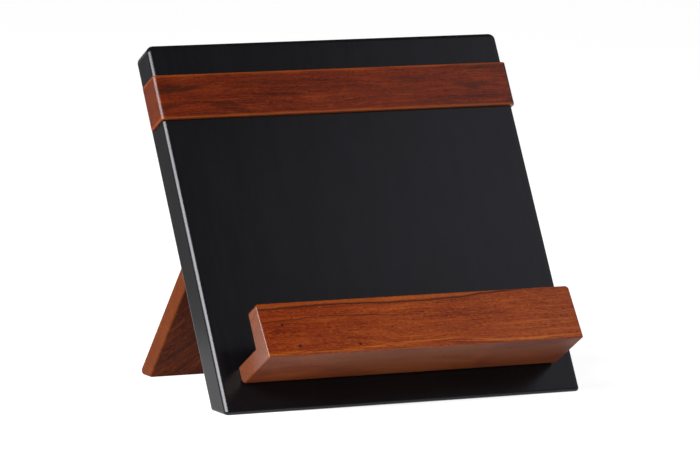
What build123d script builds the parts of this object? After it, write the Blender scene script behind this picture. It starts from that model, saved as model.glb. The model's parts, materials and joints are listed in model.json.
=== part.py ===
from build123d import *
import os
from math import cos, radians, sin, tan

# Folding easel stand for one open book, in millimetres. +Z is up, +Y goes to the back and +X to the reader's
# right. The origin is the middle of the board's foot, on the table. The stand is modelled open, in use.
#
# Two working frames keep the shapes simple, both with x across the stand:
#   board_frame  y runs up the board's front face from its foot, z stands out of that face
#   leg_frame    the hinge pins are the origin, y runs up the leg, z points at the board
# A hinge's leaves and screws are made as they lie on the leg, with the wood below them and the plate running
# along -y. turned_to_board turns the same shapes over onto the board's back.

# ---------------------------------------------------------------- driving dimensions

board_width = 280.0
board_height = 287.0                # front face, from the foot to the top
board_thickness = 25.0
board_lean = 30.0                   # degrees back from the vertical
board_edge_radius = 3.4
board_corner_radius = 5.0           # top corners, seen from the front
board_foot_radius = 2.0

band_height = 34.5
band_drop = 25.0                    # from the board's top to the band's housing
band_proud = 2.5                    # in front of the board's face
band_overhang = 1.75                # past each end of the board
band_backing = 6.0                  # board left behind the housing
band_fit_gap = 0.15                 # between the band and its housing, each side
band_edge_radius = 0.8

ledge_inset = 16.8                  # from each end of the board
ledge_rise = 22.0                   # from the board's foot up to the shelf's underside
shelf_thickness = 14.0
slot_depth = 33.7                   # from the board's face to the lip
lip_height = 28.0                   # above the shelf
lip_top_thickness = 14.8
lip_foot_thickness = 19.3
ledge_corner_radius = 2.8           # top corners of the lip, seen from the front
ledge_back_radius = 6.0             # under the shelf, where it meets the board
ledge_edge_radius = 1.1

leg_inset = 20.0                    # from each end of the board
leg_thickness = 15.0
leg_lean = 41.0                     # degrees from the vertical when open, its foot to the back
leg_joint_rise = 124.0              # up the board's back from its foot to the leg's inner face
leg_edge_radius = 1.5
leg_foot_radius = 3.0
leg_stop_gap = 0.1                  # between the leg's bevelled top and the board when open

hinge_length = 40.0
hinge_inset = 45.0                  # from each end of the leg to the middle of a hinge
knuckle_count = 5
knuckle_radius = 2.5
knuckle_gap = 0.3                   # between neighbouring knuckles
knuckle_wood_gap = 0.3              # from a knuckle to the wood beside it
knuckle_wall = 1.25                 # round the pin
pin_running_clearance = 0.05        # in the leg's knuckles, round the pin
pin_head_step = 0.6                 # how far a pin's head stays inside the knuckle's outline
pin_head_height = 0.8
pin_head_dome = 0.6                 # radius of the head's rounded rim
leaf_width = 17.0                   # from the pin to the leaf's free edge
leaf_thickness = 1.2
leaf_corner_radius = 1.5

hinge_screw_spacing = 13.0          # along the leaf
hinge_screw_row = 9.0               # from the pin to the two outer screws
hinge_screw_stagger = 4.0           # how much further out the middle screw is
hinge_screw_length = 11.0
hinge_screw_radius = 1.4
hinge_screw_head_radius = 2.4
hinge_pilot_radius = 1.1
leaf_hole_clearance = 0.1           # in a leaf, round the screw

ledge_screw_count = 4
ledge_screw_end_inset = 30.0        # from each end of the ledge to the first screw
ledge_screw_below_shelf_top = 5.0
ledge_screw_bite = 22.0             # into the shelf
ledge_screw_radius = 2.1
ledge_screw_head_radius = 4.0
ledge_screw_hole_clearance = 0.15   # in the board, round the screw
ledge_pilot_radius = 1.6

screw_sink = 0.1                    # how far every screw's head lies under the surface
screw_point_length_ratio = 2.2      # to the screw's radius
screw_tip_ratio = 0.15              # to the screw's radius
recess_reach_ratio = 0.6            # the cross recess, to the head's radius
recess_width_ratio = 0.24
recess_depth_ratio = 0.5

nearly_parallel = 0.999             # cosine of the angle between a face's normal and a direction

# ---------------------------------------------------------------- what follows from them

lean = radians(board_lean)
opening = radians(board_lean + leg_lean)    # between the board's back and the leg's inner face
leg_slope = radians(leg_lean)

foot_depth = board_thickness / cos(lean)
back_start = board_thickness * tan(lean)    # the back face starts this far up the board
shelf_top = ledge_rise + shelf_thickness
lip_top = shelf_top + lip_height
housing_depth = board_thickness - band_backing

ledge_length = board_width - 2 * ledge_inset
leg_width = board_width - 2 * leg_inset
hinge_x = leg_width / 2 - hinge_inset

pin_radius = knuckle_radius - knuckle_wall
pin_head_radius = knuckle_radius - pin_head_step
pin_offset = knuckle_radius + knuckle_wood_gap    # from the pin to the wood on either side
pin_up_board = back_start + leg_joint_rise - pin_offset / tan(opening / 2)

board_frame = Plane(origin=(0, -foot_depth / 2, 0), x_dir=(1, 0, 0), z_dir=(0, -cos(lean), sin(lean)))
pin_point = board_frame.from_local_coords(Vector(0, pin_up_board, -board_thickness - pin_offset))
leg_frame = Plane(origin=pin_point, x_dir=(1, 0, 0), z_dir=(0, -cos(leg_slope), -sin(leg_slope)))
turned_to_board = Pos(0, pin_up_board, -board_thickness - pin_offset) * Rot(0, 180, 0)

# ---------------------------------------------------------------- shared shapes


def prism(points, width):
    """A bar across the stand, from the closed side profile of (y, z) points."""
    outline = Plane.YZ * Polyline(*points, close=True)
    return extrude(make_face(outline), amount=width / 2, both=True)


def face_towards(part, direction):
    """The flat face that looks this way, and lies furthest that way if there are several."""
    way = Vector(*direction).normalized()
    flat = part.faces().filter_by(GeomType.PLANE)
    facing = flat.filter_by(lambda face: face.normal_at().dot(way) > nearly_parallel)
    return facing.sort_by(lambda face: face.center().dot(way))[-1]


def edge_across(part, y, z):
    """The edge that runs across the part nearest to this point of its side profile."""
    return part.edges().filter_by(Axis.X).sort_by_distance(Vector(0, y, z))[0]


def wood_screw(length, radius, head_radius):
    """A countersunk screw with a cross recess. Its head is at the origin and it points along -z."""
    head_depth = head_radius - radius
    point_length = screw_point_length_ratio * radius
    shank_length = length - head_depth - point_length
    head = Pos(0, 0, -head_depth / 2) * Cone(radius, head_radius, head_depth)
    shank = Pos(0, 0, -head_depth - shank_length / 2) * Cylinder(radius, shank_length)
    point = Pos(0, 0, -length + point_length / 2) * Cone(screw_tip_ratio * radius, radius, point_length)
    reach = 2 * recess_reach_ratio * head_radius
    width = recess_width_ratio * head_radius
    depth = recess_depth_ratio * head_radius
    recess = Box(reach, width, depth) + Box(width, reach, depth)
    return Pos(0, 0, -screw_sink) * (head + shank + point - Pos(0, 0, -depth / 2) * recess)


def drill(radius, depth):
    """What a drill removes below the origin."""
    return Pos(0, 0, -depth / 2) * Cylinder(radius, depth)


def countersink(radius, head_radius):
    """What makes room for a screw's head below the origin."""
    head_depth = head_radius - radius
    mouth = Pos(0, 0, -screw_sink / 2) * Cylinder(head_radius, screw_sink)
    return mouth + Pos(0, 0, -screw_sink - head_depth / 2) * Cone(radius, head_radius, head_depth)


def copies(shape, places):
    """Separate copies of a shape, one at each place."""
    return [place * shape for place in places]


# ---------------------------------------------------------------- where the screws go


def ledge_screw_places():
    """In the board's frame: on the board's back, behind the shelf."""
    reach = ledge_length / 2 - ledge_screw_end_inset
    step = 2 * reach / (ledge_screw_count - 1)
    height = shelf_top - ledge_screw_below_shelf_top
    across = [-reach + i * step for i in range(ledge_screw_count)]
    return [Pos(x, height, -board_thickness) * Rot(0, 180, 0) for x in across]


def leaf_screw_places():
    """In a leaf's frame: three screws in a leaf whose middle is at x = 0."""
    surface = leaf_thickness - pin_offset
    rows = (hinge_screw_row, hinge_screw_row + hinge_screw_stagger, hinge_screw_row)
    return [Pos((i - 1) * hinge_screw_spacing, -row, surface) for i, row in enumerate(rows)]


def screw_places_on_both_leaves():
    """In the leg's frame: the screws of the left leaf and of the right leaf."""
    return [Pos(x, 0, 0) * place for x in (-hinge_x, hinge_x) for place in leaf_screw_places()]


# ---------------------------------------------------------------- the board and what is fixed to it


def make_board():
    """The leaning panel: rounded, cut flat to the table, with a housing across it for the band."""
    below_table = -2 * board_thickness
    profile = [
        (below_table, 0),
        (board_height, 0),
        (board_height, -board_thickness),
        (below_table, -board_thickness),
    ]
    panel = prism(profile, board_width)
    panel = fillet(panel.edges().filter_by(Axis.Z).group_by(Axis.Y)[-1], board_corner_radius)
    for side in (1, -1):
        rim = face_towards(panel, (0, 0, side)).edges().sort_by(Axis.Y)[1:]
        panel = fillet(rim, board_edge_radius)
    up = Vector(0, cos(lean), sin(lean))
    table = Plane(origin=(0, 0, 0), x_dir=(1, 0, 0), z_dir=up)
    panel = split(panel, bisect_by=table, keep=Keep.TOP)
    panel = fillet(face_towards(panel, -up).edges(), board_foot_radius)

    housing = Box(2 * board_width, band_height, housing_depth)
    panel -= Pos(0, board_height - band_drop - band_height / 2, -housing_depth / 2) * housing
    hole = countersink(ledge_screw_radius, ledge_screw_head_radius)
    hole += drill(ledge_screw_radius + ledge_screw_hole_clearance, board_thickness)
    panel -= copies(hole, ledge_screw_places())
    pilot = drill(hinge_pilot_radius, hinge_screw_length + screw_sink)
    panel -= copies(pilot, [turned_to_board * place for place in screw_places_on_both_leaves()])
    return panel


def make_band():
    """The straight bar let into the board. Its ends are rounded at the front as the board's ends are."""
    back = band_fit_gap - housing_depth
    top = board_height - band_drop - band_fit_gap
    bottom = board_height - band_drop - band_height + band_fit_gap
    outline = [(bottom, back), (bottom, band_proud), (top, band_proud), (top, back)]
    bar = prism(outline, board_width + 2 * band_overhang)
    bar = fillet(bar.edges().filter_by(Axis.Y).group_by(Axis.Z)[-1], board_edge_radius)
    return fillet(face_towards(bar, (0, 0, 1)).edges().filter_by(Axis.X), band_edge_radius)


def make_ledge():
    """The L-section bar: a shelf for the book's foot and a lip that keeps its pages open."""
    outline = [
        (ledge_rise, 0),
        (ledge_rise, slot_depth + lip_foot_thickness),
        (lip_top, slot_depth + lip_top_thickness),
        (lip_top, slot_depth),
        (shelf_top, slot_depth),
        (shelf_top, 0),
    ]
    bar = prism(outline, ledge_length)
    bar = fillet(edge_across(bar, ledge_rise, 0), ledge_back_radius)
    bar = fillet(bar.edges().filter_by(Axis.Z).group_by(Axis.Y)[-1], ledge_corner_radius)
    ends = bar.faces().filter_by(Axis.X)
    long_edges = [edge_across(bar, *outline[corner]) for corner in (1, 2, 3)]
    bar = fillet(ends[0].edges() + ends[-1].edges() + long_edges, ledge_edge_radius)
    pilot = drill(ledge_pilot_radius, board_thickness + ledge_screw_bite)
    return bar - copies(pilot, ledge_screw_places())


def make_ledge_screws():
    length = board_thickness + ledge_screw_bite - screw_sink
    return copies(wood_screw(length, ledge_screw_radius, ledge_screw_head_radius), ledge_screw_places())


# ---------------------------------------------------------------- the leg


def make_leg():
    """The easel panel. Its bevelled top stops on the board's back and its foot is cut to the table."""
    inner = -pin_offset
    outer = inner - leg_thickness
    top_of_inner = pin_offset / tan(opening / 2) - leg_stop_gap / sin(opening)
    pin_height_along_leg = pin_point.Z / cos(leg_slope)
    profile = [
        (inner * tan(leg_slope) - pin_height_along_leg, inner),
        (top_of_inner, inner),
        (top_of_inner + leg_thickness / tan(opening), outer),
        (outer * tan(leg_slope) - pin_height_along_leg, outer),
    ]
    panel = prism(profile, leg_width)
    panel = fillet(edge_across(panel, *profile[3]), leg_foot_radius)
    ends = panel.faces().filter_by(Axis.X)
    panel = fillet(ends[0].edges() + ends[-1].edges(), leg_edge_radius)
    pilot = drill(hinge_pilot_radius, hinge_screw_length + screw_sink)
    return panel - copies(pilot, screw_places_on_both_leaves())


# ---------------------------------------------------------------- the hinges


def make_leaf(own_knuckles, bore_radius):
    """One leaf in its own frame. It carries these knuckles and is notched round the other leaf's."""
    plate = Box(hinge_length, leaf_width, leaf_thickness)
    plate = Pos(0, -leaf_width / 2, leaf_thickness / 2 - pin_offset) * plate
    plate = fillet(plate.edges().filter_by(Axis.Z).group_by(Axis.Y)[0], leaf_corner_radius)
    pitch = hinge_length / knuckle_count
    for i in range(knuckle_count):
        middle = Pos((i + 0.5) * pitch - hinge_length / 2, 0, 0)
        if i in own_knuckles:
            plate += middle * Rot(0, 90, 0) * Cylinder(knuckle_radius, pitch - knuckle_gap)
        else:
            plate -= middle * Box(pitch + knuckle_gap, 2 * pin_offset, 2 * pin_offset)
    plate -= Rot(0, 90, 0) * Cylinder(bore_radius, 2 * hinge_length)
    screw_hole = countersink(hinge_screw_radius, hinge_screw_head_radius)
    screw_hole += drill(hinge_screw_radius + leaf_hole_clearance, 2 * leaf_thickness)
    return plate - copies(screw_hole, leaf_screw_places())


def make_board_leaf():
    return make_leaf(range(0, knuckle_count, 2), pin_radius)


def make_leg_leaf():
    return make_leaf(range(1, knuckle_count, 2), pin_radius + pin_running_clearance)


def make_pin():
    """The hinge pin, peened to a low dome at both ends."""
    pin = Rot(0, 90, 0) * Cylinder(pin_radius, hinge_length)
    for side in (-1, 1):
        middle = side * (hinge_length + pin_head_height) / 2
        head = Pos(middle, 0, 0) * Rot(0, 90, 0) * Cylinder(pin_head_radius, pin_head_height)
        rim = head.edges().sort_by(Axis.X)[0 if side < 0 else -1]
        pin += fillet(rim, pin_head_dome)
    return pin


def make_hinge_screws():
    screw = wood_screw(hinge_screw_length, hinge_screw_radius, hinge_screw_head_radius)
    return copies(screw, screw_places_on_both_leaves())


# ---------------------------------------------------------------- the stand


def in_board_frame(shape):
    return board_frame.location * shape


def in_leg_frame(shape):
    return leg_frame.location * shape


def group(shapes):
    return Compound(children=list(shapes))


nodes = {
    "board": in_board_frame(make_board()),
    "band": in_board_frame(make_band()),
    "ledge": in_board_frame(make_ledge()),
    "ledge_screws": group(in_board_frame(screw) for screw in make_ledge_screws()),
    "board_hinge_screws": group(in_board_frame(turned_to_board * screw) for screw in make_hinge_screws()),
    "leg": in_leg_frame(make_leg()),
    "leg_hinge_screws": group(in_leg_frame(screw) for screw in make_hinge_screws()),
}
for side_name, side_x in (("left", -hinge_x), ("right", hinge_x)):
    across = Pos(side_x, 0, 0)
    nodes[f"hinge_{side_name}_board_leaf"] = in_board_frame(across * turned_to_board * make_board_leaf())
    nodes[f"hinge_{side_name}_leg_leaf"] = in_leg_frame(across * make_leg_leaf())
    nodes[f"hinge_{side_name}_pin"] = in_leg_frame(across * make_pin())

os.makedirs("parts", exist_ok=True)
for node_name, shape in nodes.items():
    export_step(shape, f"parts/{node_name}.step")
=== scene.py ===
import json
import math

import bpy
from mathutils import Matrix, Vector

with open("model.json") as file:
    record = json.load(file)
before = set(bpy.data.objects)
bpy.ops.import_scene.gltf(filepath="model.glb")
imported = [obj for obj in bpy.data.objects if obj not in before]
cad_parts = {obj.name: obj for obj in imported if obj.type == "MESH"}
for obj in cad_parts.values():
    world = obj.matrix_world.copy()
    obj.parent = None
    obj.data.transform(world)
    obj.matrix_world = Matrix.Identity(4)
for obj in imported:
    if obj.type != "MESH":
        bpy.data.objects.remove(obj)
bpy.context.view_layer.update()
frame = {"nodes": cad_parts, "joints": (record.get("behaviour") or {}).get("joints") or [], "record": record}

# Everything is in metres in the CAD frame: +Z up, +Y to the back, +X to the reader's right.
board_lean = math.radians(30.0)
leg_lean = math.radians(41.0)
hinge_point = Vector(next(joint["pos_m"] for joint in frame["joints"] if joint["name"] == "leg_fold"))
board_thickness = 0.025
foot_front = Vector((0.0, -board_thickness / 2 / math.cos(board_lean), 0.0))
camera_azimuth = math.radians(25.29)

# The shaders work in millimetres, because that is the scale of wood grain. They measure across the stand from
# its middle, up each piece from the board's foot or the leg's hinge, and out of its face.
board_half_width = 140.0
band_half_length = 141.75
band_middle = 244.75
band_half_height = 17.1
ledge_half_length = 123.2
ledge_underside = 22.0
leg_half_width = 120.0
mm_per_metre = 1000.0


# ---------------------------------------------------------------- building shader nodes


class Graph:
    """The shader nodes of one material. Methods return the socket that the new node gives."""

    def __init__(self, name):
        self.material = bpy.data.materials.new(name)
        self.material.use_nodes = True
        self.tree = self.material.node_tree
        self.tree.nodes.clear()

    def add(self, kind, inputs, **settings):
        node = self.tree.nodes.new("ShaderNode" + kind)
        for key, value in settings.items():
            setattr(node, key, value)
        for key, value in inputs.items():
            self.feed(node.inputs[key], value)
        return node

    def feed(self, socket, value):
        if isinstance(value, bpy.types.NodeSocket):
            self.tree.links.new(value, socket)
        else:
            socket.default_value = value

    def math(self, operation, a, b=0.0, c=0.0):
        return self.add("Math", {0: a, 1: b, 2: c}, operation=operation).outputs[0]

    def plus(self, a, b):
        return self.math("ADD", a, b)

    def minus(self, a, b):
        return self.math("SUBTRACT", a, b)

    def times(self, a, b):
        return self.math("MULTIPLY", a, b)

    def magnitude(self, a):
        return self.math("ABSOLUTE", a)

    def weighted(self, *pairs):
        """The sum of values, each times its own weight."""
        total = 0.0
        for value, weight in pairs:
            total = self.math("MULTIPLY_ADD", value, weight, total)
        return total

    def vector(self, operation, a, b):
        return self.add("VectorMath", {0: a, 1: b}, operation=operation).outputs[0]

    def split(self, vector):
        return self.add("SeparateXYZ", {0: vector}).outputs[:3]

    def join(self, x, y, z):
        return self.add("CombineXYZ", {0: x, 1: y, 2: z}).outputs[0]

    def span(self, value, low, high, out_low=0.0, out_high=1.0):
        """Maps low..high smoothly to out_low..out_high, and holds the ends."""
        inputs = {0: value, 1: low, 2: high, 3: out_low, 4: out_high}
        return self.add("MapRange", inputs, interpolation_type="SMOOTHSTEP", clamp=True).outputs[0]

    def near(self, value, centre, core, reach):
        """1 within core of the centre, falling to 0 at reach."""
        distance = self.magnitude(self.minus(value, centre))
        return self.span(distance, core, reach, 1.0, 0.0)

    def noise(self, place, scale, detail, roughness, seed=0.0):
        """Noise with these many lumps a unit along x, and along y and z. The seed picks a stretch of it."""
        along, across = scale
        scaled = self.vector("MULTIPLY", place, (along, across, across))
        moved = self.vector("ADD", scaled, (seed, 1.7 * seed, 0.6 * seed))
        inputs = {"Vector": moved, "Scale": 1.0, "Detail": detail, "Roughness": roughness}
        return self.add("TexNoise", inputs).outputs[0]

    def mix(self, share, a, b, blend="MIX"):
        return self.add("Mix", {0: share, 6: a, 7: b}, data_type="RGBA", blend_type=blend).outputs[2]

    def ramp(self, value, *stops):
        node = self.add("ValToRGB", {0: value})
        elements = node.color_ramp.elements
        while len(elements) < len(stops):
            elements.new(0.5)
        for element, (position, colour) in zip(elements, stops):
            element.position = position
            element.color = colour
        return node.outputs[0]

    def bump(self, height, millimetres, normal=None):
        """Height from 0 to 1 stands for this many millimetres."""
        inputs = {"Height": height, "Distance": millimetres / mm_per_metre, "Strength": 1.0}
        if normal is not None:
            inputs["Normal"] = normal
        return self.add("Bump", inputs).outputs[0]

    def finish(self, inputs):
        shader = self.add("BsdfPrincipled", inputs)
        self.add("OutputMaterial", {0: shader.outputs[0]})
        return self.material


def rgb(red, green, blue):
    """A colour given as it shows on screen, from 0 to 255, as the linear values that a shader takes."""
    def linear(value):
        value = value / 255.0
        return value / 12.92 if value <= 0.04045 else ((value + 0.055) / 1.055) ** 2.4
    return (linear(red), linear(green), linear(blue), 1.0)


def in_millimetres(graph, turn, origin):
    """Places on the piece: x across the stand, y up the piece and z out of its face, in millimetres."""
    place = graph.add("TexCoord", {}).outputs["Object"]
    from_origin = graph.vector("SUBTRACT", place, tuple(origin))
    inputs = {0: from_origin, 2: (turn, 0.0, 0.0), 3: (mm_per_metre, mm_per_metre, mm_per_metre)}
    return graph.add("Mapping", inputs, vector_type="POINT").outputs[0]


board_turn = board_lean - math.radians(90.0)
leg_turn = math.radians(270.0) - leg_lean


# ---------------------------------------------------------------- wood


class Grain:
    """Growth rings, fibres and pores of a plank. Along, across and depth are its millimetre coordinates."""

    def __init__(self, graph, along, across, depth, seed):
        self.graph = graph
        straight = graph.join(along, across, depth)
        bend = graph.noise(straight, (0.008, 0.022), detail=2.0, roughness=0.5, seed=seed)
        waviness = 22.0
        lift = graph.times(graph.minus(bend, 0.5), waviness)
        self.place = graph.join(along, graph.plus(across, lift), graph.weighted((lift, 0.7), (depth, 1.0)))
        self.rings = graph.noise(self.place, (0.005, 0.24), detail=4.0, roughness=0.6, seed=seed + 3.0)
        self.streaks = graph.noise(self.place, (0.016, 0.85), detail=4.0, roughness=0.68, seed=seed + 5.0)
        self.fibre = graph.noise(self.place, (0.030, 1.5), detail=3.0, roughness=0.6, seed=seed + 7.0)
        self.cloud = graph.noise(self.place, (0.016, 0.055), detail=3.0, roughness=0.55, seed=seed + 11.0)
        open_pores = graph.noise(self.place, (0.34, 1.35), detail=1.0, roughness=0.5, seed=seed + 13.0)
        self.pores = graph.span(open_pores, 0.57, 0.68)
        bright_cells = graph.noise(self.place, (0.30, 1.4), detail=1.0, roughness=0.5, seed=seed + 17.0)
        self.flecks = graph.span(bright_cells, 0.54, 0.68)

    def tone(self):
        return self.graph.weighted((self.rings, 0.32), (self.streaks, 0.44), (self.cloud, 0.24))

    def relief(self):
        """Height of the surface: fibres stand up a little and pores are open."""
        return self.graph.weighted((self.fibre, 0.45), (self.pores, -0.45), (0.5, 1.0))

    def flecked(self, colour, pore, pore_share, fleck, fleck_share):
        colour = self.graph.mix(self.graph.times(self.pores, pore_share), colour, pore)
        return self.graph.mix(self.graph.times(self.flecks, fleck_share), colour, fleck)


def black_wood():
    graph = Graph("black_wood_stained")
    x, y, z = graph.split(in_millimetres(graph, board_turn, foot_front))
    grain = Grain(graph, y, x, z, 41.0)
    brushed = graph.noise(graph.join(y, x, z), (0.010, 0.5), detail=3.0, roughness=0.6, seed=5.0)
    tone = graph.weighted((grain.cloud, 0.5), (grain.rings, 0.25), (brushed, 0.25))
    colour = graph.ramp(tone, (0.36, rgb(7, 7, 9)), (0.5, rgb(9, 9, 11)), (0.66, rgb(12, 12, 15)))
    dents = graph.noise(grain.place, (0.07, 0.12), detail=2.0, roughness=0.5, seed=2.0)
    surface = graph.bump(dents, 0.05)
    surface = graph.bump(grain.relief(), 0.004, surface)
    # The two sides are duller than the front.
    gloss = graph.span(graph.magnitude(x), board_half_width - 1.0, board_half_width - 0.1, 0.36, 0.16)
    return graph.finish({
        "Base Color": colour,
        "Roughness": graph.span(brushed, 0.32, 0.68, 0.24, 0.27),
        "Specular IOR Level": gloss,
        "Specular Tint": rgb(247, 247, 252),
        "Normal": surface,
    })


def oiled_wood(graph, colour, grain, polish=None):
    """Polish goes from 1, a thin even oil film, to 0. Without any, the wood is dry all over."""
    dry_roughness = graph.weighted((grain.fibre, 0.12), (0.5, 1.0))
    dry_gloss = 0.04
    roughness, gloss = dry_roughness, dry_gloss
    if polish is not None:
        roughness = graph.weighted((polish, -0.30), (dry_roughness, 1.0))
        gloss = graph.weighted((polish, 0.25), (dry_gloss, 1.0))
    return graph.finish({
        "Base Color": colour,
        "Roughness": roughness,
        "Specular IOR Level": gloss,
        "Normal": graph.bump(grain.relief(), 0.03),
    })


def band_wood():
    graph = Graph("band_wood_oiled")
    x, y, z = graph.split(in_millimetres(graph, board_turn, foot_front))
    grain = Grain(graph, x, y, z, 3.0)
    colour = graph.ramp(
        grain.tone(),
        (0.37, rgb(54, 12, 2)),
        (0.46, rgb(76, 21, 3)),
        (0.53, rgb(87, 27, 4)),
        (0.65, rgb(112, 44, 8)),
    )
    colour = grain.flecked(colour, rgb(34, 9, 2), 0.5, rgb(120, 50, 12), 0.30)
    # Dark figure towards both ends, and a paler orange strip along the two long edges.
    from_middle = graph.magnitude(x)
    towards_ends = graph.span(from_middle, 20.0, 125.0, 0.12, 0.75)
    figure = graph.noise(grain.place, (0.028, 0.15), detail=2.0, roughness=0.5, seed=61.0)
    smudge = graph.times(graph.span(figure, 0.48, 0.66), towards_ends)
    colour = graph.mix(smudge, colour, rgb(42, 14, 3))
    ends = graph.span(from_middle, band_half_length - 1.15, band_half_length - 0.15)
    colour = graph.mix(graph.times(ends, 0.7), colour, rgb(74, 27, 6))
    from_edge = graph.minus(band_half_height, graph.magnitude(graph.minus(y, band_middle)))
    wander = graph.noise(grain.place, (0.03, 0.3), detail=2.0, roughness=0.5, seed=67.0)
    paler_long_edges = graph.span(graph.weighted((from_edge, 1.0), (wander, 3.0)), 1.8, 3.9, 0.5, 0.0)
    colour = graph.mix(paler_long_edges, colour, rgb(140, 66, 18))
    # End grain drinks the oil, so it is duller.
    polish = graph.span(from_middle, band_half_length - 0.95, band_half_length - 0.15, 1.0, 0.3)
    return oiled_wood(graph, colour, grain, polish)


def ledge_wood():
    graph = Graph("ledge_wood_oiled")
    x, y, z = graph.split(in_millimetres(graph, board_turn, foot_front))
    grain = Grain(graph, x, y, z, 11.0)
    colour = graph.ramp(
        grain.tone(),
        (0.36, rgb(86, 29, 5)),
        (0.46, rgb(111, 42, 9)),
        (0.53, rgb(121, 51, 13)),
        (0.66, rgb(146, 70, 20)),
    )
    # Redder and darker heartwood towards the left end.
    redness = graph.span(graph.weighted((x, 1.0), (grain.cloud, 120.0)), -90.0, 90.0, 0.75, 0.0)
    colour = graph.mix(redness, colour, rgb(214, 160, 130), "MULTIPLY")
    colour = grain.flecked(colour, rgb(54, 16, 4), 0.55, rgb(160, 84, 24), 0.28)
    # Growth rings slope through the block: they lie lower at the back than on the front.
    wobble = graph.noise(graph.join(x, 0.0, z), (0.07, 0.07), detail=3.0, roughness=0.6, seed=71.0)
    level = graph.weighted((y, 1.0), (z, -0.3), (wobble, 1.6), (13.9, 1.0))
    vein_line = graph.weighted(
        (graph.near(x, -65.0, 0.0, 50.0), 1.3),
        (graph.span(x, 8.0, 85.0), 4.2),
        (59.3, 1.0),
    )
    above_vein = graph.minus(level, vein_line)
    thickness = graph.weighted((grain.streaks, 1.6), (0.35, 1.0))
    across_vein = graph.math("DIVIDE", graph.magnitude(above_vein), thickness)
    vein = graph.span(across_vein, 0.25, 1.0, 0.92, 0.0)
    fade = graph.span(x, 70.0, 95.0, 1.0, 0.0)
    colour = graph.mix(graph.times(vein, fade), colour, rgb(34, 12, 6))
    pale = graph.times(graph.near(above_vein, 2.2, 0.5, 3.2), 0.25)
    colour = graph.mix(pale, colour, rgb(150, 76, 22))
    thin_line = graph.weighted((graph.near(x, -66.0, 0.0, 60.0), 2.6), (48.6, 1.0))
    thin = graph.span(graph.magnitude(graph.minus(level, thin_line)), 0.15, 0.75, 0.62, 0.0)
    thin = graph.times(thin, graph.span(x, -20.0, 10.0, 1.0, 0.0))
    colour = graph.mix(thin, colour, rgb(50, 16, 8))
    # A golden streak low on the front, with a thin red line under it on the right.
    streak_line = graph.weighted((graph.near(x, 5.0, 8.0, 60.0), 2.8), (23.3, 1.0))
    above_streak = graph.minus(graph.weighted((y, 1.0), (wobble, 1.6), (-0.8, 1.0)), streak_line)
    golden = graph.near(above_streak, 1.0, 0.4, 2.0)
    on_front = graph.span(z, 40.0, 50.0)
    broken = graph.span(grain.streaks, 0.42, 0.58, 0.0, 0.5)
    golden = graph.times(graph.times(golden, on_front), broken)
    colour = graph.mix(golden, colour, rgb(166, 90, 24))
    red = graph.times(graph.near(above_streak, -1.0, 0.2, 0.9), graph.span(x, -10.0, 40.0, 0.0, 0.6))
    colour = graph.mix(red, colour, rgb(92, 20, 14))
    for knot_x, knot_y, radius in ((-107.0, 46.5, 1.3), (-97.5, 29.5, 1.4), (-51.5, 28.0, 1.2)):
        offset = graph.join(graph.times(graph.minus(x, knot_x), 0.75), graph.minus(y, knot_y), 0.0)
        distance = graph.add("VectorMath", {0: offset}, operation="LENGTH").outputs["Value"]
        ragged = graph.weighted((distance, 1.0), (grain.fibre, 1.2), (-0.6, 1.0))
        colour = graph.mix(graph.span(ragged, 0.3 * radius, radius, 0.9, 0.0), colour, rgb(20, 8, 5))
    ends = graph.span(graph.magnitude(x), ledge_half_length - 0.8, ledge_half_length - 0.1)
    colour = graph.mix(graph.times(ends, 0.6), colour, rgb(84, 52, 34))
    # The underside is dry and rough, and its colour is painted shade: a duller, darker brown with dark clouds,
    # darker still away from the left end.
    below = graph.span(y, ledge_underside - 0.4, ledge_underside + 0.6, 1.0, 0.0)
    cloudy = graph.span(graph.weighted((grain.cloud, 0.6), (grain.streaks, 0.4)), 0.42, 0.60)
    shaded_underside = graph.mix(cloudy, rgb(104, 62, 32), rgb(56, 28, 14))
    colour = graph.mix(graph.times(below, 0.78), colour, shaded_underside)
    darker = graph.times(below, graph.span(x, -95.0, -45.0, 0.0, 0.34))
    colour = graph.mix(darker, colour, rgb(30, 12, 6))
    return oiled_wood(graph, colour, grain, graph.minus(1.0, below))


def leg_wood():
    graph = Graph("leg_wood_oiled")
    x, y, z = graph.split(in_millimetres(graph, leg_turn, hinge_point))
    # The grain runs slantwise up the leg.
    slant = math.radians(36.0)
    along = graph.weighted((y, math.cos(slant)), (x, math.sin(slant)))
    across = graph.weighted((x, math.cos(slant)), (y, -math.sin(slant)))
    grain = Grain(graph, along, across, z, 23.0)
    colour = graph.ramp(
        grain.tone(),
        (0.38, rgb(42, 10, 1)),
        (0.46, rgb(56, 16, 2)),
        (0.53, rgb(68, 23, 4)),
        (0.64, rgb(102, 45, 11)),
    )
    colour = grain.flecked(colour, rgb(36, 14, 6), 0.5, rgb(116, 62, 22), 0.3)
    # The two side faces are painted a lighter brown: a painted highlight, a lit copy of the same wood.
    edges = graph.span(graph.magnitude(x), leg_half_width - 1.8, leg_half_width - 0.4)
    colour = graph.mix(graph.times(edges, 0.42), colour, rgb(106, 52, 20))
    return oiled_wood(graph, colour, grain)


# ---------------------------------------------------------------- metal


def metal(name, dark, light, roughness):
    graph = Graph(name)
    place = in_millimetres(graph, 0.0, (0.0, 0.0, 0.0))
    fine = graph.noise(place, (1.4, 1.4), detail=4.0, roughness=0.6)
    patch = graph.noise(place, (0.16, 0.16), detail=3.0, roughness=0.6, seed=4.0)
    return graph.finish({
        "Base Color": graph.ramp(patch, (0.35, dark), (0.62, light)),
        "Metallic": 1.0,
        "Roughness": graph.span(fine, 0.3, 0.7, roughness - 0.08, roughness + 0.12),
        "Normal": graph.bump(fine, 0.02),
    })


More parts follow.
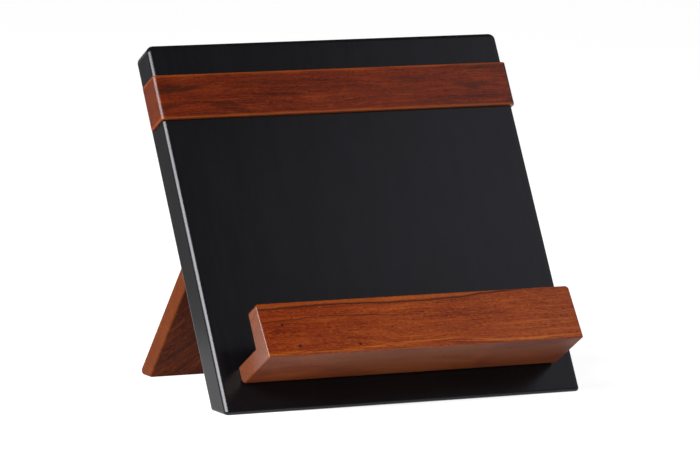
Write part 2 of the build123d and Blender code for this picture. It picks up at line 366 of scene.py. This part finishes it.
looks = {
    "black_wood": black_wood(),
    "band_wood": band_wood(),
    "ledge_wood": ledge_wood(),
    "leg_wood": leg_wood(),
    "hinge_brass": metal("hinge_brass_aged", rgb(120, 92, 48), rgb(176, 140, 78), 0.38),
    "hinge_pin_steel": metal("hinge_pin_drawn", rgb(120, 118, 112), rgb(160, 158, 152), 0.35),
    "screw_brass": metal("screw_brass_aged", rgb(120, 92, 48), rgb(186, 150, 84), 0.34),
    "screw_black": metal("screw_black_phosphate", rgb(30, 30, 32), rgb(46, 46, 48), 0.5),
}
slot_of_node = {part["node"]: part["material_slot"] for part in frame["record"]["subparts"]}
for node_name, node in frame["nodes"].items():
    node.data.materials.clear()
    node.data.materials.append(looks[slot_of_node[node_name]])


# ---------------------------------------------------------------- studio


def softbox(name, centre, away, distance, length, width, radiance, lengthwise, colour=(1.0, 1.0, 1.0)):
    """A flat light of this radiance that faces the centre, seen from it in the direction away."""
    data = bpy.data.lights.new(name, "AREA")
    data.shape = "RECTANGLE"
    data.size = length
    data.size_y = width
    data.energy = radiance * math.pi * length * width
    data.color = colour
    back = Vector(away).normalized()
    along = Vector(lengthwise)
    along = (along - along.dot(back) * back).normalized()
    lamp = bpy.data.objects.new(name, data)
    lamp.matrix_world = Matrix((along, back.cross(along), back)).transposed().to_4x4()
    lamp.location = Vector(centre) + distance * back
    bpy.context.scene.collection.objects.link(lamp)


def studio():
    centre = Vector((0.0, 0.07, 0.12))
    # A long strip gives the wide highlight down the rounded left edges of the board, band and ledge.
    softbox(
        "strip_left",
        centre,
        away=(-0.87, -0.22, 0.47),
        distance=2.2,
        length=2.7,
        width=0.7,
        radiance=21.0,
        lengthwise=(0.24, -0.84, 0.485),
    )
    softbox(
        "fill_right",
        centre,
        away=(0.74, -0.456, 0.531),
        distance=1.6,
        length=1.1,
        width=1.1,
        radiance=0.80,
        lengthwise=(0.0, 0.0, 1.0),
        colour=(0.96, 0.94, 1.04),
    )
    sky()


def sky():
    """White all round, brightest at the horizon."""
    world = bpy.data.worlds.new("studio")
    world.use_nodes = True
    tree = world.node_tree
    direction = tree.nodes.new("ShaderNodeTexCoord").outputs["Generated"]
    height = tree.nodes.new("ShaderNodeSeparateXYZ")
    tree.links.new(direction, height.inputs[0])
    falloff = tree.nodes.new("ShaderNodeMapRange")
    falloff.interpolation_type = "SMOOTHSTEP"
    ranges = {"From Min": 0.0, "From Max": 0.4, "To Min": 0.50, "To Max": 0.07}
    for name, value in ranges.items():
        falloff.inputs[name].default_value = value
    tree.links.new(height.outputs["Z"], falloff.inputs["Value"])
    background = tree.nodes["Background"]
    background.inputs["Color"].default_value = (1.0, 1.0, 1.0, 1.0)
    tree.links.new(falloff.outputs[0], background.inputs["Strength"])
    bpy.context.scene.world = world


def mirrored_patch(graph, x, y):
    """1 on the painted dim patch of floor, painted shade that the black side of the board mirrors, behind the
    stand on the left.

    It leaves out the strip of floor that shows around the stand from the front, which widens towards the back.
    """
    strip_half_width = 0.262
    strip_spread = 0.07
    cosine, sine = math.cos(camera_azimuth), math.sin(camera_azimuth)
    aside = graph.magnitude(graph.weighted((x, cosine), (y, -sine), (0.035, 1.0)))
    behind = graph.weighted((x, sine), (y, cosine), (-0.034, 1.0))
    past_strip = graph.weighted((aside, 1.0), (behind, -strip_spread), (-strip_half_width, 1.0))
    away = graph.weighted((x, -0.42), (y, 0.91))
    across = graph.weighted((x, 0.91), (y, 0.42))
    patch = graph.times(graph.near(away, 3.2, 3.0, 3.7), graph.near(across, -0.15, 0.35, 0.75))
    return graph.times(graph.span(past_strip, 0.0, 0.13), patch)


def floor():
    """A wide pale floor that glows plain white, with painted shade on the mirrored patch and a painted contact
    shadow under the stand.
    """
    graph = Graph("floor_pale")
    place = graph.add("TexCoord", {}).outputs["Object"]
    x, y, _ = graph.split(place)
    mirrored = mirrored_patch(graph, x, y)
    # Painted shade: the glow is dimmed on the patch that the board's black side mirrors.
    glow = graph.weighted((mirrored, -0.82), (0.93, 1.0))
    # Painted contact shadow: the glow is dimmed on the floor under the stand.
    painted_contact_shadow = graph.times(graph.near(x, 0.0, 0.08, 0.11), graph.near(y, 0.06, 0.04, 0.085))
    unshaded = graph.weighted((painted_contact_shadow, -0.9), (1.0, 1.0))
    mottle = graph.noise(place, (3.0, 3.0), detail=3.0, roughness=0.5)
    material = graph.finish({
        "Base Color": graph.ramp(mottle, (0.3, rgb(146, 146, 146)), (0.7, rgb(150, 150, 150))),
        "Roughness": 0.8,
        "Specular IOR Level": 0.0,
        "Emission Color": (1.0, 1.0, 1.0, 1.0),
        "Emission Strength": graph.times(glow, unshaded),
    })
    half = 6.0
    corners = [(-half, -half, 0), (half, -half, 0), (half, half, 0), (-half, half, 0)]
    mesh = bpy.data.meshes.new("floor")
    mesh.from_pydata(corners, [], [(0, 1, 2, 3)])
    mesh.materials.append(material)
    plane = bpy.data.objects.new("floor", mesh)
    bpy.context.scene.collection.objects.link(plane)


def camera():
    elevation = math.radians(7.31)
    roll = math.radians(0.34)
    distance = 3.7665
    target = Vector((-0.01711, 0.04557, 0.11585))
    back = Vector((
        -math.sin(camera_azimuth) * math.cos(elevation),
        -math.cos(camera_azimuth) * math.cos(elevation),
        math.sin(elevation),
    ))
    right = (-back).cross(Vector((0, 0, 1))).normalized()
    up = right.cross(-back)
    turned_right = math.cos(roll) * right + math.sin(roll) * up
    turned_up = -math.sin(roll) * right + math.cos(roll) * up
    data = bpy.data.cameras.new("camera")
    data.sensor_width = 36.0
    data.lens = 270.07
    data.clip_start = 0.1
    data.clip_end = 50.0
    view = bpy.data.objects.new("camera", data)
    turn = Matrix((turned_right, turned_up, back)).transposed()
    view.matrix_world = turn.to_4x4()
    view.location = target + distance * back
    bpy.context.scene.collection.objects.link(view)
    bpy.context.scene.camera = view


studio()
floor()
camera()
bpy.context.scene.view_settings.view_transform = "Standard"
